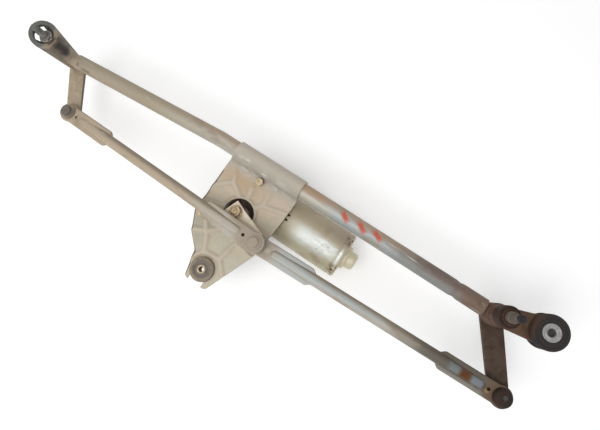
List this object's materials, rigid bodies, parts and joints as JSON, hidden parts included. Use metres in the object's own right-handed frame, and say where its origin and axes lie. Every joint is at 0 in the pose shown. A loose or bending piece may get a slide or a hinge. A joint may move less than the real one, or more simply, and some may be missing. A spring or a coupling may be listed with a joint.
{
  "type": "windshield wiper assembly",
  "caption": "Windshield wiper linkage: a bent frame tube with pivot housings, a geared motor on a stamped bracket, and a crank that swings the spindle levers through link rods.",
  "frame": {"origin": "axis of the bracket's mounting sleeve, at the sleeve's end face that sits on the car body", "axes": "+X along the straight right run of the frame tube, +Z along the spindles away from the car body, +Y from the sleeve towards the tube"},
  "size_m": [0.7129, 0.1975, 0.1455],
  "materials": {
    "tube_steel": "dusty aged zinc",
    "bracket_steel": "dusty aged zinc on pressed sheet",
    "cast_alloy": "weathered die casting",
    "dark_casting": "stained die casting",
    "rubber": "moulded, dusty",
    "sleeve_zinc": "bright zinc",
    "spindle_steel": "turned",
    "link_steel": "worn zinc with stains",
    "left_lever_steel": "tan, worn",
    "right_lever_steel": "rust brown",
    "cup_steel": "dark, greasy",
    "yellow_zinc": "yellow passivated",
    "can_steel": "drawn, yellowed zinc",
    "gearbox_alloy": "die cast",
    "bronze": "sintered",
    "copper": "enamelled wire and copper bars",
    "black_plastic": "moulded",
    "cream_plastic": "moulded",
    "ferrite": "sintered",
    "lamination": "stacked sheet"
  },
  "bodies": {
    "frame": {"frame_tube": "tube_steel", "motor_bracket": "bracket_steel", "left_pivot_housing": "cast_alloy", "right_pivot_housing": "dark_casting", "left_spindle_bushes": "bronze", "right_spindle_bushes": "bronze", "bracket_grommet": "rubber", "bracket_sleeve": "spindle_steel", "right_grommet": "rubber", "right_sleeve": "sleeve_zinc", "gearbox_housing": "gearbox_alloy", "gearbox_cover": "gearbox_alloy", "cover_screws": "sleeve_zinc", "motor_screws": "yellow_zinc", "motor_can": "can_steel", "field_magnets": "ferrite", "brush_holder": "black_plastic", "carbon_brushes": "ferrite", "output_bush": "bronze", "worm_end_bush": "bronze", "middle_bearing": "bronze", "rear_bearing": "bronze", "connector_shell": "black_plastic", "connector_blades": "yellow_zinc"},
    "armature": {"armature_shaft": "spindle_steel", "worm": "spindle_steel", "armature_core": "lamination", "armature_windings": "copper", "commutator": "copper"},
    "crank": {"output_shaft": "spindle_steel", "worm_wheel": "cream_plastic", "crank_arm": "bracket_steel", "crank_lock_washer": "spindle_steel", "crank_nut": "yellow_zinc", "crank_ball_pin": "spindle_steel"},
    "left_drive": {"left_lever": "left_lever_steel", "left_spindle": "spindle_steel", "left_washer": "cup_steel", "left_circlip": "spindle_steel", "left_ball_stud": "spindle_steel"},
    "right_drive": {"right_lever": "right_lever_steel", "right_spindle": "spindle_steel", "right_washer": "cup_steel", "right_circlip": "spindle_steel", "right_ball_stud": "spindle_steel"},
    "left_link": {"left_link_rod": "link_steel", "left_ball_cup": "cup_steel", "left_crank_socket": "cup_steel"},
    "right_link": {"right_link_rod": "link_steel", "right_ball_cup": "cup_steel", "right_crank_socket": "cup_steel"}
  },
  "joints": [
    {"name": "armature_spin", "type": "hinge", "parent": "frame", "child": "armature", "pos_m": [0.088, 0.11, -0.026], "axis": [1, 0, 0], "range_deg": [-3072, 480]},
    {"name": "crank_turn", "type": "hinge", "parent": "frame", "child": "crank", "pos_m": [-0.002, 0.08, 0.0185], "axis": [0, 0, 1], "range_deg": [-64.2, 10.2]},
    {"name": "left_link_swing", "type": "hinge", "parent": "crank", "child": "left_link", "pos_m": [0.04195, 0.06278, 0.039], "axis": [0, 0, 1], "range_deg": [-9.64, 60.65]},
    {"name": "right_link_swing", "type": "hinge", "parent": "crank", "child": "right_link", "pos_m": [0.04195, 0.06278, 0.0285], "axis": [0, 0, 1], "range_deg": [-10.68, 67.29]},
    {"name": "left_spindle_swing", "type": "hinge", "parent": "frame", "child": "left_drive", "pos_m": [-0.3184, 0.12891, 0.014], "axis": [0, 0, 1], "range_deg": [-30.65, 4.96]},
    {"name": "right_spindle_swing", "type": "hinge", "parent": "frame", "child": "right_drive", "pos_m": [0.308, 0.146, 0.014], "axis": [0, 0, 1], "range_deg": [-27.84, 4.52]}
  ],
  "couplings": [
    {"joint": "crank_turn", "follows": "armature_spin", "ratio": 0.020833},
    {"joint": "left_link_swing", "follows": "armature_spin", "ratio": -0.019678},
    {"joint": "right_link_swing", "follows": "armature_spin", "ratio": -0.02184},
    {"joint": "left_spindle_swing", "follows": "armature_spin", "ratio": 0.0099128},
    {"joint": "right_spindle_swing", "follows": "armature_spin", "ratio": 0.0089976}
  ]
}
